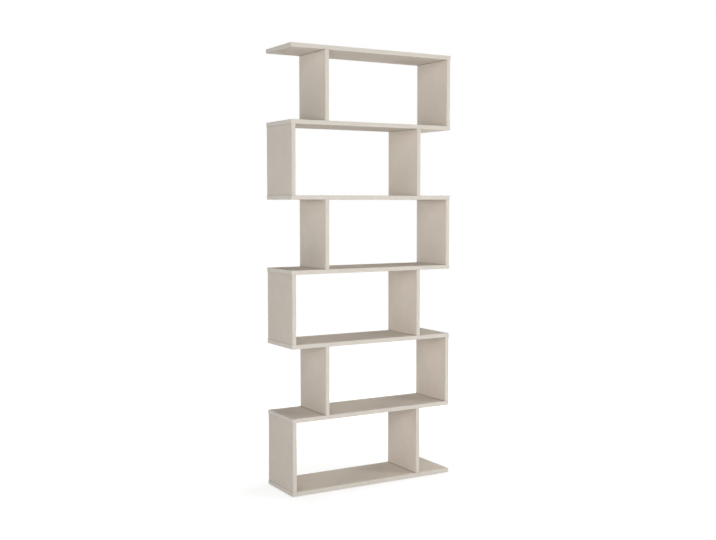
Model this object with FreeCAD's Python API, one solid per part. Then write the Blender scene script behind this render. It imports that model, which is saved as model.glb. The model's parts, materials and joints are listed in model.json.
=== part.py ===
import FreeCAD, Part
import math
import os

# Zigzag bookshelf: full-width shelves carried by pairs of uprights that step sideways from
# tier to tier. Millimetres, +Z up, front towards -Y, origin on the floor below the middle.

Vector = FreeCAD.Vector

# Boards
shelf_width = 800.0           # every shelf along X, edging included
board_depth = 240.0           # shelves and uprights along Y, edging included
shelf_thickness = 18.0
upright_thickness = 18.0
clear_height = 295.0          # free height inside one tier
tier_count = 6
upright_setback = 160.0       # from the shelf's end to the outer face of a stepped-in upright
end_reveal = 2.0              # shelf end past the outer face of an upright that stands at the end

# Edging strips on the boards' cut edges
edging_thickness = 2.0
edging_arris_radius = 1.4     # rounding of the strips' outer edges
edging_seam = 0.1             # hairline between an end strip and the long strips

# One-piece connector screws, two in every butt joint
screw_edge_distance = 50.0    # from the front or back edge to the nearest screw
screw_length = 50.0
screw_head_diameter = 10.0
screw_head_rim = 1.0          # straight part of the head above its cone
screw_head_height = 3.0
screw_shank_diameter = 7.0    # smooth neck, and the crest of the thread
screw_neck_length = 12.0      # from the top of the head to the thread
screw_core_diameter = 4.8
screw_thread_pitch = 3.0
screw_point_length = 4.0
screw_socket_width = 4.0      # hexagon across its flats
screw_socket_depth = 2.6

# Caps that hide the screw heads
cap_diameter = 13.0
cap_rim_height = 0.4
cap_shoulder_width = 0.9      # bevel between the rim and the crown
cap_shoulder_height = 0.9
cap_height = 1.2

# Dowels beside the screws
dowel_diameter = 8.0
dowel_length = 30.0
dowel_depth_in_shelf = 10.0
dowel_chamfer = 1.0
dowel_flute_count = 10
dowel_flute_depth = 0.4
dowel_from_screw = 32.0       # spacing along the joint

# Angle brackets that tie the top shelf to a wall
bracket_spacing = 600.0
bracket_leg_on_shelf = 32.0
bracket_leg_on_wall = 30.0
bracket_width = 18.0
bracket_thickness = 2.0
bracket_bend_radius = 1.5     # inside the bend
bracket_corner_radius = 4.0
wall_hole_diameter = 5.5
wall_hole_from_tip = 10.0     # from the tip of the wall leg to the middle of its hole
bracket_screw_depth_in_shelf = 11.0
bracket_screw_diameter = 3.5
bracket_screw_core_diameter = 2.4
bracket_screw_pitch = 1.8
bracket_screw_point_length = 3.0
bracket_screw_head_diameter = 7.0
bracket_screw_head_height = 2.4
bracket_screw_head_rim = 0.8
bracket_screw_crown_diameter = 3.8
recess_width = 0.9            # cross recess in the screw's head
recess_length = 3.4
recess_depth = 1.4

# Nail-on glides below the bottom shelf
glide_height = 4.0
glide_diameter = 20.0
glide_edge_radius = 1.2
glide_end_distance = 32.0     # from the shelf's end to the middle of a glide
glide_edge_distance = 25.0    # from the front or back edge to the middle of a glide
nail_head_diameter = 7.0
nail_head_height = 1.0
nail_head_recess = 0.8        # nail head above the glide's running face
nail_shank_diameter = 2.2
nail_depth_in_shelf = 10.0
nail_point_length = 3.0

# Fits
hole_clearance = 0.1          # on the diameter, round every screw, dowel, peg and nail
hole_end_clearance = 0.5      # beyond the tip of a screw, dowel, peg or nail

# Places that follow from the sizes
half_width = shelf_width / 2
half_depth = board_depth / 2
tier_pitch = clear_height + shelf_thickness
tiers = range(1, tier_count + 1)
sides = ("left", "right")
screw_rows = (screw_edge_distance - half_depth, half_depth - screw_edge_distance)
dowel_rows = (screw_rows[0] + dowel_from_screw, screw_rows[1] - dowel_from_screw)
bracket_middles = (-bracket_spacing / 2, bracket_spacing / 2)


def shelf_bottom(level):
    """Height of the underside of a shelf, level 0 being the bottom shelf."""
    return glide_height + level * tier_pitch


def shelf_top(level):
    return shelf_bottom(level) + shelf_thickness


def shelf_name(level):
    if level == 0:
        return "bottom_shelf"
    if level == tier_count:
        return "top_shelf"
    return "shelf_%d" % (level + 1)


def upright_middle(tier, side):
    """X of an upright: odd tiers stand at the left end, even tiers at the right end."""
    at_the_end = (tier % 2 == 1) == (side == "left")
    inset = end_reveal if at_the_end else upright_setback
    reach = half_width - inset - upright_thickness / 2
    return -reach if side == "left" else reach


# Basic shapes

def revolve(outline):
    """Solid of revolution about Z from a closed outline of (radius, height) points."""
    corners = [Vector(radius, 0, height) for radius, height in outline]
    face = Part.Face(Part.makePolygon(corners + corners[:1]))
    return face.revolve(Vector(0, 0, 0), Vector(0, 0, 1), 360)


def hexagonal_bar(across_flats, length):
    radius = across_flats / math.sqrt(3)
    turns = [number * math.pi / 3 for number in range(6)]
    corners = [Vector(radius * math.cos(turn), radius * math.sin(turn), 0) for turn in turns]
    return Part.Face(Part.makePolygon(corners + corners[:1])).extrude(Vector(0, 0, length))


def turned(shape, angle):
    """Copy turned about Z, in degrees."""
    copy = shape.copy()
    copy.rotate(Vector(0, 0, 0), Vector(0, 0, 1), angle)
    return copy


def placed(shape, x, y, z, upwards=False):
    """Copy of a piece that was drawn pointing down; upwards turns it over."""
    copy = shape.copy()
    if upwards:
        copy.rotate(Vector(0, 0, 0), Vector(1, 0, 0), 180)
    copy.translate(Vector(x, y, z))
    return copy


def group(shape, places):
    return [placed(shape, *place) for place in places]


def threaded_tip(start, tip, point_length, pitch, core_diameter, crest_diameter):
    """Outline of a ridged thread from height start down to its point at height tip."""
    core = core_diameter / 2
    crest = crest_diameter / 2
    end = tip + point_length
    ridge_count = int((start - end) / pitch)
    outline = [(core, start)]
    for number in range(ridge_count):
        top = start - number * pitch
        outline += [(crest, top - pitch / 2), (core, top - pitch)]
    if outline[-1][1] > end:
        outline.append((core, end))
    return outline + [(0, tip)]


# Butt joints: every upright meets a shelf at its top and another at its bottom

def joints(level=None, tier=None, side=None):
    """Lists (X, height of the shelf's free face, True if its screws point up) for the joints asked for."""
    found = []
    for its_tier in tiers:
        for its_side in sides:
            x = upright_middle(its_tier, its_side)
            if tier not in (None, its_tier) or side not in (None, its_side):
                continue
            if level in (None, its_tier):
                found.append((x, shelf_top(its_tier), False))
            if level in (None, its_tier - 1):
                found.append((x, shelf_bottom(its_tier - 1), True))
    return found


def screw_places(**which):
    return [(x, row, face, upwards) for x, face, upwards in joints(**which) for row in screw_rows]


def dowel_places(**which):
    """Places on the seam between the shelf and the upright."""
    places = []
    for x, face, upwards in joints(**which):
        seam = face + shelf_thickness if upwards else face - shelf_thickness
        places += [(x, row, seam, upwards) for row in dowel_rows]
    return places


# Connector screws, caps and dowels, drawn pointing down

def connector_screw():
    """Countersunk head at height 0, smooth neck, ridged thread and hexagonal socket."""
    head = screw_head_diameter / 2
    shank = screw_shank_diameter / 2
    outline = [(0, 0), (head, 0), (head, -screw_head_rim), (shank, -screw_head_height),
               (shank, -screw_neck_length)]
    outline += threaded_tip(-screw_neck_length - screw_thread_pitch / 3, -screw_length, screw_point_length,
                            screw_thread_pitch, screw_core_diameter, screw_shank_diameter)
    return revolve(outline).cut(hexagonal_bar(screw_socket_width, -screw_socket_depth))


def connector_hole():
    """Stepped bore for a connector screw, open above the shelf's face."""
    head = (screw_head_diameter + hole_clearance) / 2
    bore = (screw_shank_diameter + hole_clearance) / 2
    bottom = -screw_length - hole_end_clearance
    return revolve([(0, shelf_thickness), (head, shelf_thickness), (head, -screw_head_rim),
                    (bore, -screw_head_height), (bore, bottom), (0, bottom)])


def screw_cap():
    """Low crowned disc over a screw's head, with a hexagonal peg that plugs into its socket."""
    radius = cap_diameter / 2
    disc = revolve([(0, 0), (radius, 0), (radius, cap_rim_height),
                    (radius - cap_shoulder_width, cap_shoulder_height), (0, cap_height)])
    peg = hexagonal_bar(screw_socket_width - hole_clearance, hole_end_clearance - screw_socket_depth)
    return disc.fuse(peg)


def dowel():
    """Fluted dowel across a seam at height 0, its short end above, in the shelf."""
    radius = dowel_diameter / 2
    bottom = dowel_depth_in_shelf - dowel_length
    pin = Part.makeCylinder(radius, dowel_length, Vector(0, 0, bottom))
    pin = pin.makeChamfer(dowel_chamfer, [edge for edge in pin.Edges if edge.Closed])
    root = radius - dowel_flute_depth
    corners = [Vector(root, 0, bottom), Vector(radius + dowel_flute_depth, 2 * dowel_flute_depth, bottom),
               Vector(radius + dowel_flute_depth, -2 * dowel_flute_depth, bottom)]
    flute = Part.Face(Part.makePolygon(corners + corners[:1])).extrude(Vector(0, 0, dowel_length))
    return pin.cut([turned(flute, 360 * number / dowel_flute_count) for number in range(dowel_flute_count)])


def dowel_hole():
    radius = (dowel_diameter + hole_clearance) / 2
    bottom = dowel_depth_in_shelf - dowel_length - hole_end_clearance
    return Part.makeCylinder(radius, dowel_length + 2 * hole_end_clearance, Vector(0, 0, bottom))


# Boards

def shelf_board(level):
    """Core of a shelf, drilled for the uprights that meet it from below and from above."""
    corner = Vector(edging_thickness - half_width, edging_thickness - half_depth, shelf_bottom(level))
    core = Part.makeBox(shelf_width - 2 * edging_thickness, board_depth - 2 * edging_thickness,
                        shelf_thickness, corner)
    holes = group(connector_hole(), screw_places(level=level))
    holes += group(dowel_hole(), dowel_places(level=level))
    if level == 0:
        holes += group(nail_hole(), glide_places())
    if level == tier_count:
        holes += group(bracket_screw_hole(), bracket_screw_places())
    return core.cut(holes)


def upright_board(tier, side):
    """Core of an upright, drilled in both of its ends."""
    corner = Vector(upright_middle(tier, side) - upright_thickness / 2, edging_thickness - half_depth,
                    shelf_top(tier - 1))
    core = Part.makeBox(upright_thickness, board_depth - 2 * edging_thickness, clear_height, corner)
    holes = group(connector_hole(), screw_places(tier=tier, side=side))
    holes += group(dowel_hole(), dowel_places(tier=tier, side=side))
    return core.cut(holes)


# Edging strips

def rounded(strip, is_outer_edge):
    """Strip with the outer edges rounded, as far as its own thickness allows."""
    radius = min(edging_arris_radius, 0.9 * edging_thickness)
    return strip.makeFillet(radius, [edge for edge in strip.Edges if is_outer_edge(edge.CenterOfMass)])


def shelf_edging(level):
    """Two long strips over the full width, and two end strips between them."""
    bottom = shelf_bottom(level)
    glued_face = edging_thickness - half_depth
    front = Part.makeBox(shelf_width, edging_thickness, shelf_thickness,
                         Vector(-half_width, -half_depth, bottom))
    front = rounded(front, lambda spot: spot.y < glued_face - edging_thickness / 4)
    end_front = glued_face + edging_seam
    left = Part.makeBox(edging_thickness, -2 * end_front, shelf_thickness,
                        Vector(-half_width, end_front, bottom))
    left = rounded(left, lambda spot: (spot.x < edging_thickness / 4 - half_width
                                       and abs(spot.y) < half_depth / 2))
    back = front.mirror(Vector(0, 0, 0), Vector(0, 1, 0))
    right = left.mirror(Vector(0, 0, 0), Vector(1, 0, 0))
    return [front, back, left, right]


def upright_edging(tier, side):
    """Front and back strips of an upright, square where they meet the shelves."""
    bottom = shelf_top(tier - 1)
    middle_height = bottom + clear_height / 2
    corner = Vector(upright_middle(tier, side) - upright_thickness / 2, -half_depth, bottom)
    front = Part.makeBox(upright_thickness, edging_thickness, clear_height, corner)
    front = rounded(front, lambda spot: (spot.y < edging_thickness / 4 - half_depth
                                         and abs(spot.z - middle_height) < clear_height / 4))
    back = front.mirror(Vector(0, 0, 0), Vector(0, 1, 0))
    return [front, back]


# Wall brackets and their screws

def bracket_screw_places():
    """Two screws in each lower leg, spread over its flat; their heads seat on the leg."""
    seat = shelf_top(tier_count) + bracket_thickness
    flat_start = bracket_thickness + bracket_bend_radius
    flat = bracket_leg_on_shelf - flat_start
    rows = [half_depth - flat_start - flat * share for share in (0.25, 0.75)]
    return [(middle, row, seat) for middle in bracket_middles for row in rows]


def bracket_screw():
    """Pan-head chipboard screw with a cross recess; the underside of its head is at height 0."""
    head = bracket_screw_head_diameter / 2
    crest = bracket_screw_diameter / 2
    outline = [(0, bracket_screw_head_height), (bracket_screw_crown_diameter / 2, bracket_screw_head_height),
               (head, bracket_screw_head_rim), (head, 0), (crest, 0), (crest, -bracket_thickness)]
    outline += threaded_tip(-bracket_thickness - bracket_screw_pitch / 3,
                            -bracket_thickness - bracket_screw_depth_in_shelf, bracket_screw_point_length,
                            bracket_screw_pitch, bracket_screw_core_diameter, bracket_screw_diameter)
    recess_floor = bracket_screw_head_height - recess_depth
    slot = Part.makeBox(recess_length, recess_width, recess_depth,
                        Vector(-recess_length / 2, -recess_width / 2, recess_floor))
    return revolve(outline).cut([slot, turned(slot, 90)])


def bracket_screw_hole():
    """Bore through the bracket's leg and into the shelf, from the seat of the head down."""
    radius = (bracket_screw_diameter + hole_clearance) / 2
    depth = bracket_thickness + bracket_screw_depth_in_shelf + hole_end_clearance
    return Part.makeCylinder(radius, depth, Vector(0, 0, -depth))


def wall_bracket(middle):
    """Bent strip: one leg on the shelf, the other standing in the plane of the shelf's back edge."""
    base = shelf_top(tier_count)
    outer_radius = bracket_bend_radius + bracket_thickness
    bend = Vector(middle - bracket_width / 2, half_depth - outer_radius, base + outer_radius)
    shelf_tip = half_depth - bracket_leg_on_shelf - bend.y
    wall_tip = base + bracket_leg_on_wall - bend.z

    def spot(y, z):
        return bend + Vector(0, y, z)

    def bend_arc(radius):
        diagonal = radius / math.sqrt(2)
        return Part.Arc(spot(0, -radius), spot(diagonal, -diagonal), spot(radius, 0)).toShape()

    inner_radius = bracket_bend_radius
    outline = [Part.makeLine(spot(shelf_tip, -outer_radius), spot(0, -outer_radius)), bend_arc(outer_radius),
               Part.makeLine(spot(outer_radius, 0), spot(outer_radius, wall_tip)),
               Part.makeLine(spot(outer_radius, wall_tip), spot(inner_radius, wall_tip)),
               Part.makeLine(spot(inner_radius, wall_tip), spot(inner_radius, 0)), bend_arc(inner_radius),
               Part.makeLine(spot(0, -inner_radius), spot(shelf_tip, -inner_radius)),
               Part.makeLine(spot(shelf_tip, -inner_radius), spot(shelf_tip, -outer_radius))]
    profile = Part.Face(Part.Wire(Part.__sortEdges__(outline)))
    angle = profile.extrude(Vector(bracket_width, 0, 0))

    def is_tip_corner(edge):
        reach = edge.CenterOfMass - bend
        from_tips = min(abs(reach.y - shelf_tip), abs(reach.z - wall_tip))
        return from_tips < bracket_thickness / 4 and abs(reach.x - bracket_width / 2) > bracket_width / 4

    corner_radius = min(bracket_corner_radius, 0.49 * bracket_width)
    angle = angle.makeFillet(corner_radius, [edge for edge in angle.Edges if is_tip_corner(edge)])
    wall_hole = Part.makeCylinder(wall_hole_diameter / 2, 2 * bracket_thickness,
                                  Vector(middle, half_depth - 1.5 * bracket_thickness,
                                         base + bracket_leg_on_wall - wall_hole_from_tip), Vector(0, 1, 0))
    return angle.cut([wall_hole] + group(bracket_screw_hole(), bracket_screw_places()))


# Floor glides and their nails, with the floor at height 0

def glide_places():
    """Glides near both ends and close beside the stepped-in upright of the first tier."""
    beside_upright = upright_middle(1, "right") + (upright_thickness + glide_diameter) / 2
    columns = (glide_end_distance - half_width, beside_upright, half_width - glide_end_distance)
    rows = (glide_edge_distance - half_depth, half_depth - glide_edge_distance)
    return [(x, y, 0) for x in columns for y in rows]


def glide():
    """Round foot with a stepped hole for its nail."""
    foot = Part.makeCylinder(glide_diameter / 2, glide_height)
    edge_radius = min(glide_edge_radius, 0.9 * glide_height)
    foot = foot.makeFillet(edge_radius, [edge for edge in foot.Edges
                                         if edge.Closed and edge.CenterOfMass.z < glide_height / 2])
    head_bore = Part.makeCylinder((nail_head_diameter + hole_clearance) / 2,
                                  nail_head_recess + nail_head_height)
    return foot.cut([head_bore, nail_hole()])


def nail():
    """Nail driven up through a glide into the bottom shelf."""
    head = nail_head_diameter / 2
    shank = nail_shank_diameter / 2
    seat = nail_head_recess + nail_head_height
    tip = glide_height + nail_depth_in_shelf
    return revolve([(0, nail_head_recess), (head, nail_head_recess), (head, seat), (shank, seat),
                    (shank, tip - nail_point_length), (0, tip)])


def nail_hole():
    return Part.makeCylinder((nail_shank_diameter + hole_clearance) / 2,
                             glide_height + nail_depth_in_shelf + hole_end_clearance)


# Every node, each a list of separate solids

def build_nodes():
    nodes = {}
    for level in range(tier_count + 1):
        nodes[shelf_name(level)] = [shelf_board(level)]
        nodes[shelf_name(level) + "_edging"] = shelf_edging(level)
    for tier in tiers:
        for side in sides:
            name = "tier_%d_%s_upright" % (tier, side)
            nodes[name] = [upright_board(tier, side)]
            nodes[name + "_edging"] = upright_edging(tier, side)
    nodes["connector_screws"] = group(connector_screw(), screw_places())
    nodes["screw_caps"] = group(screw_cap(), screw_places())
    nodes["dowels"] = group(dowel(), dowel_places())
    nodes["wall_brackets"] = [wall_bracket(middle) for middle in bracket_middles]
    nodes["bracket_screws"] = group(bracket_screw(), bracket_screw_places())
    nodes["floor_glides"] = group(glide(), glide_places())
    nodes["glide_nails"] = group(nail(), glide_places())
    return nodes


def main():
    os.makedirs("parts", exist_ok=True)
    for name, solids in build_nodes().items():
        shape = solids[0] if len(solids) == 1 else Part.makeCompound(solids)
        if not shape.isValid():
            raise ValueError(name + " is not a valid shape")
        shape.exportStep("parts/%s.step" % name)
        print("%-30s %3d solids %12.1f mm3" % (name, len(shape.Solids), shape.Volume))


main()
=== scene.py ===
import json
import math

import bpy
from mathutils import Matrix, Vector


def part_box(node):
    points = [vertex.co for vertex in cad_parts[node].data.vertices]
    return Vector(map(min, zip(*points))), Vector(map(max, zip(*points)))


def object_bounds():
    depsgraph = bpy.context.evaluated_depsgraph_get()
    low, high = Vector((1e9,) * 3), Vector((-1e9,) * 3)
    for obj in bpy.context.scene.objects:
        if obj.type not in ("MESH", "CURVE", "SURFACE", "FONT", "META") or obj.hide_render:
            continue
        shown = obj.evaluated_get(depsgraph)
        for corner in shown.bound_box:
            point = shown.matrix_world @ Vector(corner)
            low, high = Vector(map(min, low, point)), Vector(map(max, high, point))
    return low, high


# Zigzag bookshelf: the finish of every board, strip and fitting, a pale floor, soft studio light and
# the camera. Metres, +Z up, front towards -Y. Colours are linear.

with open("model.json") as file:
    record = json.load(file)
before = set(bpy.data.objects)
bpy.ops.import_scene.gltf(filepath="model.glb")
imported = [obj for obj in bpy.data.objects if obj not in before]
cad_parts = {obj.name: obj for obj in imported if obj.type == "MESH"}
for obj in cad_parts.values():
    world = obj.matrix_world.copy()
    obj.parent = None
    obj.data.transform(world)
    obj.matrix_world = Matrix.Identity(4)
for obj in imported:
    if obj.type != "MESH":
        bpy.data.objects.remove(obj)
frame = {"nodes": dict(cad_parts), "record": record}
cad_low, cad_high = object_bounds()

# Highest corner of the bottom shelf's core: its X and Y are where edging strips are glued to the boards
glued_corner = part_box("bottom_shelf")[1]

# Camera
camera_place = (-2.2764, -3.8798, 1.2459)
camera_yaw = 30.275             # degrees to the right of straight ahead
camera_pitch = 3.845            # degrees below the horizon
camera_lens = 50.88             # millimetres, as is the sensor's width
sensor_width = 36.0

# Light: an even dome and round softboxes that face the middle of the bookshelf. Azimuth 0 stands in front
# of it and 90 degrees on its right; distance is measured along the floor.
white = (1, 1, 1, 1)
dome_strength = 0.05
softbox_width = 1.6
softboxes = (
    # name, azimuth, distance, height, watts
    ("left_softbox", -50, 4.5, 1.2, 69),
    ("high_softbox", -30, 4.0, 2.8, 42),
    ("front_softbox", 50, 3.7, 1.5, 64),
    ("right_softbox", 105, 3.5, 1.2, 52),
    ("back_softbox", -160, 4.0, 1.7, 50),
    ("top_softbox", 0, 0.0, 4.6, 54),
)

# Floor
floor_half_size = 40.0
floor_whiteness = 0.90          # share of light that it reflects
floor_whiteness_seen = 0.34     # the same, for the rays that see the floor as backdrop
floor_glow = 0.74               # plain white that those rays see besides, at the foot of the bookshelf
shadow_reach = 0.9              # distance from the foot at which the floor has become plain white

# Range that most values of a noise lie in
noise_low = 0.3
noise_high = 0.7

# Boards. A share is a pattern's part in the tone, which runs from the dark colour to the light one.
melamine_light = (0.700, 0.635, 0.561)
melamine_dark = (0.629, 0.566, 0.494)
melamine_specular = 0.08
melamine_roughness = (0.62, 0.74)
cloud_size = 0.045              # soft unevenness of the printed paper
cloud_share = 0.32
fleck_size = 0.0014             # fine speckle of the print
fleck_share = 0.58
board_share = 0.10              # how much one board's tone differs from another's
pearl_size = 0.0009             # dimples of the embossed surface
pearl_depth = 0.00006
wave_size = 0.018               # slow waviness of the pressed face
wave_depth = 0.000012
smudge_size = 0.07              # patches that are a little more or less glossy

# Edging strips
edging_light = (0.697, 0.650, 0.582)
edging_dark = (0.664, 0.616, 0.548)
edging_specular = 0.1
edging_roughness = (0.58, 0.70)
streak_width = 0.0006           # extrusion lines along the strip
streak_length = 0.05
streak_depth = 0.000008
glue_colour = (0.330, 0.270, 0.205)
glue_width = 0.00016            # width of the line of glue between strip and board
glue_cover = 0.7                # how far it hides the strip's colour

# Painted shade in inner corners of boards and edging: the colour darkens where little light reaches
corner_shade_colour = (0.100, 0.083, 0.066)
corner_shade_reach_on_shelves = 0.015   # how far it spreads from the corner over level faces
corner_shade_reach_on_uprights = 0.003  # and over upright ones
corner_shade_samples = 8

# Moulded screw caps and floor glides
cap_light = (0.650, 0.590, 0.515)
cap_dark = (0.605, 0.545, 0.470)
cap_roughness = (0.42, 0.52)
glide_light = (0.740, 0.720, 0.680)
glide_dark = (0.620, 0.600, 0.560)
glide_roughness = (0.50, 0.62)
plastic_specular = 0.5
grain_size = 0.0004             # eroded grain of the mould
grain_depth = 0.00001
grain_share = 0.4
flow_size = 0.004               # faint marks of the plastic's flow
flow_share = 0.6

# Zinc-plated fittings
zinc_light = (0.540, 0.550, 0.560)
zinc_dark = (0.400, 0.410, 0.425)
zinc_tone_range = (0.2, 0.8)    # tones at which the plating is darkest and lightest
zinc_roughness = (0.58, 0.72)
crystal_size = 0.0012
crystal_share = 0.35
scratch_width = 0.00025
scratch_length = 0.006
scratch_depth = 0.00001
scratch_share = 0.65

# Beech dowels
beech_light = (0.680, 0.470, 0.290)
beech_dark = (0.500, 0.310, 0.170)
beech_specular = 0.4
beech_roughness = (0.62, 0.50)
pore_width = 0.0005
pore_length = 0.009
pore_depth = 0.00001


class Nodes:
    """A node tree, with one method for each step that the sky, the floor and the finishes share."""

    def __init__(self, tree):
        self.tree = tree

    def add(self, kind, settings=None, **inputs):
        """New node; an input is a number, a colour or another node's output."""
        made = self.tree.nodes.new(kind)
        for name, value in (settings or {}).items():
            setattr(made, name, value)
        for name, value in inputs.items():
            self.feed(made.inputs[name.replace("_", " ")], value)
        return made

    def feed(self, socket, value):
        """Links the socket to another node's output, or sets it to a fixed value."""
        if isinstance(value, bpy.types.NodeSocket):
            self.tree.links.new(value, socket)
        else:
            socket.default_value = value

    def math(self, operation, first, second=0.0, third=0.0):
        made = self.add("ShaderNodeMath", {"operation": operation})
        for socket, value in zip(made.inputs, (first, second, third)):
            self.feed(socket, value)
        return made.outputs[0]

    def vector_math(self, operation, first, second=(0, 0, 0)):
        made = self.add("ShaderNodeVectorMath", {"operation": operation})
        for socket, value in zip(made.inputs, (first, second)):
            self.feed(socket, value)
        return made.outputs["Value" if operation == "LENGTH" else "Vector"]

    def between(self, factor, low, high, start=noise_low, end=noise_high):
        """Number that runs from low to high while factor runs from start to end."""
        return self.add("ShaderNodeMapRange", Value=factor, From_Min=start, From_Max=end, To_Min=low,
                        To_Max=high).outputs["Result"]

    def background_rays(self):
        """1 for rays that see the plain white studio: straight from the camera, mirrored or let through."""
        ray = self.add("ShaderNodeLightPath").outputs
        straight_or_mirrored = self.math("MAXIMUM", ray["Is Camera Ray"], ray["Is Glossy Ray"])
        return self.math("MAXIMUM", straight_or_mirrored, ray["Is Transmission Ray"])


class Recipe(Nodes):
    """A material; its constants are set on the shader's own sockets."""

    def __init__(self, name, **constants):
        self.material = bpy.data.materials.new(name)
        self.material.use_nodes = True
        super().__init__(self.material.node_tree)
        self.shader = self.tree.nodes["Principled BSDF"]
        for socket, value in constants.items():
            self.shader.inputs[socket.replace("_", " ")].default_value = value
        self.place = self.add("ShaderNodeTexCoord").outputs["Object"]

    def noise(self, size, detail=2.0, roughness=0.5):
        """Noise whose features measure size, one number or three along X, Y and Z."""
        lengths = size if isinstance(size, tuple) else (size, size, size)
        scaled = self.add("ShaderNodeMapping", Vector=self.place, Scale=[1 / length for length in lengths])
        return self.add("ShaderNodeTexNoise", Vector=scaled.outputs[0], Scale=1.0, Detail=detail,
                        Roughness=roughness).outputs["Fac"]

    def tone(self, *patterns):
        """Sum of the patterns, each given with its share."""
        total = 0.0
        for pattern, share in patterns:
            total = self.math("MULTIPLY_ADD", pattern, share, total)
        return total

    def ramp(self, factor, dark, light, start=noise_low, end=noise_high):
        """Colour that runs from dark to light while factor runs from start to end."""
        made = self.add("ShaderNodeValToRGB", Fac=factor)
        first, last = made.color_ramp.elements
        first.position, first.color = start, (*dark, 1)
        last.position, last.color = end, (*light, 1)
        return made.outputs["Color"]

    def cover(self, below, above, factor):
        """The colour below, covered by the fixed colour above as far as factor says."""
        made = self.add("ShaderNodeMix", {"data_type": "RGBA"}, Factor=factor)
        below_socket, above_socket = [socket for socket in made.inputs if socket.type == "RGBA"]
        self.feed(below_socket, below)
        self.feed(above_socket, (*above, 1))
        return next(socket for socket in made.outputs if socket.type == "RGBA")

    def paint_corner_shade(self, colour):
        """The colour, darkened by painted shade in inner corners; none is painted between faces that touch.
        """
        facing = self.add("ShaderNodeNewGeometry").outputs["True Normal"]
        level = self.math("ABSOLUTE", self.add("ShaderNodeSeparateXYZ", Vector=facing).outputs["Z"])
        reach = self.between(level, corner_shade_reach_on_uprights, corner_shade_reach_on_shelves, 0.0, 1.0)
        around = self.add("ShaderNodeAmbientOcclusion", {"samples": corner_shade_samples}, Distance=reach)
        openness = around.outputs["AO"]
        painted_shade = self.math("MINIMUM", openness, self.math("SUBTRACT", 1.0, openness))
        return self.cover(colour, corner_shade_colour, painted_shade)

    def bump(self, height, depth, below=None):
        """Relief as deep as depth where height runs from 0 to 1, on top of the relief below."""
        made = self.add("ShaderNodeBump", Height=height, Distance=depth, Strength=1.0)
        if below is not None:
            self.feed(made.inputs["Normal"], below)
        return made.outputs["Normal"]

    def finish(self, colour, roughness, relief):
        self.feed(self.shader.inputs["Base Color"], colour)
        self.feed(self.shader.inputs["Roughness"], roughness)
        self.feed(self.shader.inputs["Normal"], relief)
        return self.material


def melamine():
    """Satin board face: cloudy printed paper below a clear embossed surface."""
    recipe = Recipe("melamine", Specular_IOR_Level=melamine_specular)
    board = recipe.add("ShaderNodeObjectInfo").outputs["Random"]
    cloud = recipe.noise(cloud_size, detail=4.0)
    fleck = recipe.noise(fleck_size, detail=3.0, roughness=0.6)
    tone = recipe.tone((cloud, cloud_share), (fleck, fleck_share), (board, board_share))
    # the board's colour carries painted shade in its inner corners
    colour = recipe.paint_corner_shade(recipe.ramp(tone, melamine_dark, melamine_light))
    roughness = recipe.between(recipe.noise(smudge_size, detail=5.0), *melamine_roughness)
    wave = recipe.bump(recipe.noise(wave_size), wave_depth)
    pearl = recipe.bump(recipe.noise(pearl_size), pearl_depth, wave)
    return recipe.finish(colour, roughness, pearl)


def edging(name, streaks):
    """Extruded strip with fine lines along it and a hairline of glue beside the board."""
    recipe = Recipe(name, Specular_IOR_Level=edging_specular)
    lines = recipe.noise(streaks, detail=3.0, roughness=0.6)
    spot = recipe.add("ShaderNodeSeparateXYZ", Vector=recipe.place).outputs
    reach = recipe.math("ABSOLUTE", spot["X"])
    depth = recipe.math("ABSOLUTE", spot["Y"])
    along_front = recipe.math("COMPARE", depth, glued_corner.y, glue_width)
    along_end = recipe.math("COMPARE", reach, glued_corner.x, glue_width)
    on_end_strip = recipe.math("LESS_THAN", depth, glued_corner.y)
    glue = recipe.math("MAXIMUM", along_front, recipe.math("MULTIPLY", along_end, on_end_strip))
    strip = recipe.ramp(lines, edging_dark, edging_light)
    glued = recipe.cover(strip, glue_colour, recipe.math("MULTIPLY", glue, glue_cover))
    roughness = recipe.between(lines, *edging_roughness)
    # the strip's colour carries painted shade in its inner corners
    return recipe.finish(recipe.paint_corner_shade(glued), roughness, recipe.bump(lines, streak_depth))


def moulded(name, dark, light, roughness_range):
    """Moulded plastic with a fine eroded grain and faint flow marks."""
    recipe = Recipe(name, Specular_IOR_Level=plastic_specular)
    grain = recipe.noise(grain_size)
    flow = recipe.noise(flow_size, detail=3.0)
    tone = recipe.tone((grain, grain_share), (flow, flow_share))
    roughness = recipe.between(flow, *roughness_range)
    return recipe.finish(recipe.ramp(tone, dark, light), roughness, recipe.bump(grain, grain_depth))


def zinc():
    """Zinc plating dulled by tumbling: fine crystals under faint scratches."""
    recipe = Recipe("zinc_plating", Metallic=1.0)
    cells = recipe.add("ShaderNodeTexVoronoi", Vector=recipe.place, Scale=1 / crystal_size)
    crystals = recipe.add("ShaderNodeSeparateColor", Color=cells.outputs["Color"]).outputs["Red"]
    scratches = recipe.noise((scratch_length, scratch_width, scratch_width), detail=3.0)
    tone = recipe.tone((crystals, crystal_share), (scratches, scratch_share))
    colour = recipe.ramp(tone, zinc_dark, zinc_light, *zinc_tone_range)
    roughness = recipe.between(tone, *zinc_roughness)
    return recipe.finish(colour, roughness, recipe.bump(scratches, scratch_depth))


def beech():
    """Plain beech with short pores along the grain."""
    recipe = Recipe("beech", Specular_IOR_Level=beech_specular)
    pores = recipe.noise((pore_width, pore_width, pore_length), detail=4.0, roughness=0.6)
    colour = recipe.ramp(pores, beech_dark, beech_light)
    roughness = recipe.between(pores, *beech_roughness)
    return recipe.finish(colour, roughness, recipe.bump(pores, pore_depth))


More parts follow.
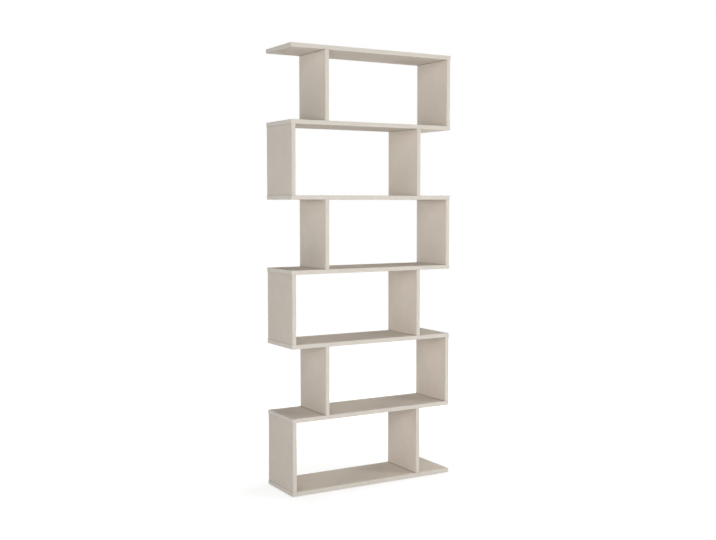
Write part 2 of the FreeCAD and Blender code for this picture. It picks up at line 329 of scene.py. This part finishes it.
def dress_nodes():
    """Gives every node the finish of its material slot; the lines of an upright's edging run upwards."""
    along_shelf = (streak_length, streak_length, streak_width)
    along_upright = (streak_width, streak_width, streak_length)
    upright_edging = edging("edging_of_uprights", along_upright)
    finishes = {
        "melamine_board": melamine(),
        "edge_band": edging("edging_of_shelves", along_shelf),
        "cap_plastic": moulded("cap_plastic", cap_dark, cap_light, cap_roughness),
        "zinc_steel": zinc(),
        "beech": beech(),
        "glide_plastic": moulded("glide_plastic", glide_dark, glide_light, glide_roughness),
    }
    for subpart in frame["record"]["subparts"]:
        name = subpart["node"]
        is_upright_edging = name.endswith("_upright_edging")
        finish = upright_edging if is_upright_edging else finishes[subpart["material_slot"]]
        for slot in frame["nodes"][name].material_slots:
            slot.material = finish


def make_world():
    """Even dome of light, which the camera sees as plain white."""
    world = bpy.data.worlds.new("studio")
    bpy.context.scene.world = world
    world.use_nodes = True
    sky = Nodes(world.node_tree)
    background = sky.tree.nodes["Background"]
    sky.feed(background.inputs["Color"], white)
    strength = sky.between(sky.background_rays(), dome_strength, 1.0, 0.0, 1.0)
    sky.feed(background.inputs["Strength"], strength)


def make_floor():
    """Wide pale floor, with the soft shadow of the bookshelf round its foot and plain white further out."""
    half = floor_half_size
    corners = [(-half, -half, 0), (half, -half, 0), (half, half, 0), (-half, half, 0)]
    mesh = bpy.data.meshes.new("floor")
    mesh.from_pydata(corners, [], [(0, 1, 2, 3)])
    floor = bpy.data.objects.new("floor", mesh)
    bpy.context.scene.collection.objects.link(floor)
    recipe = Recipe("floor_paint", Roughness=1.0, Specular_IOR_Level=0.0, Emission_Color=white)
    seen = recipe.background_rays()
    foot = (cad_high.x, cad_high.y, 0)
    outside = recipe.vector_math("SUBTRACT", recipe.vector_math("ABSOLUTE", recipe.place), foot)
    away = recipe.vector_math("LENGTH", recipe.vector_math("MAXIMUM", outside))
    glow = recipe.between(away, floor_glow, 1.0, 0.0, shadow_reach)
    whiteness = recipe.between(seen, floor_whiteness, floor_whiteness_seen, 0.0, 1.0)
    recipe.feed(recipe.shader.inputs["Base Color"], whiteness)
    recipe.feed(recipe.shader.inputs["Emission Strength"], recipe.math("MULTIPLY", seen, glow))
    mesh.materials.append(recipe.material)


def make_softboxes():
    """Round lamps that face the middle of the bookshelf and stay out of the picture themselves."""
    middle = (cad_low + cad_high) / 2
    for name, azimuth, distance, height, watts in softboxes:
        light = bpy.data.lights.new(name, "AREA")
        light.shape = "DISK"
        light.size = softbox_width
        light.energy = watts
        softbox = bpy.data.objects.new(name, light)
        turn = math.radians(azimuth)
        softbox.location = (distance * math.sin(turn), -distance * math.cos(turn), height)
        softbox.rotation_euler = (softbox.location - middle).to_track_quat("Z", "Y").to_euler()
        softbox.visible_camera = False
        bpy.context.scene.collection.objects.link(softbox)


def make_camera():
    lens = bpy.data.cameras.new("camera")
    lens.sensor_width = sensor_width
    lens.lens = camera_lens
    camera = bpy.data.objects.new("camera", lens)
    camera.location = camera_place
    camera.rotation_euler = (math.radians(90 - camera_pitch), 0, math.radians(-camera_yaw))
    bpy.context.scene.collection.objects.link(camera)
    bpy.context.scene.camera = camera


dress_nodes()
make_world()
make_floor()
make_softboxes()
make_camera()
bpy.context.scene.view_settings.view_transform = "Standard"
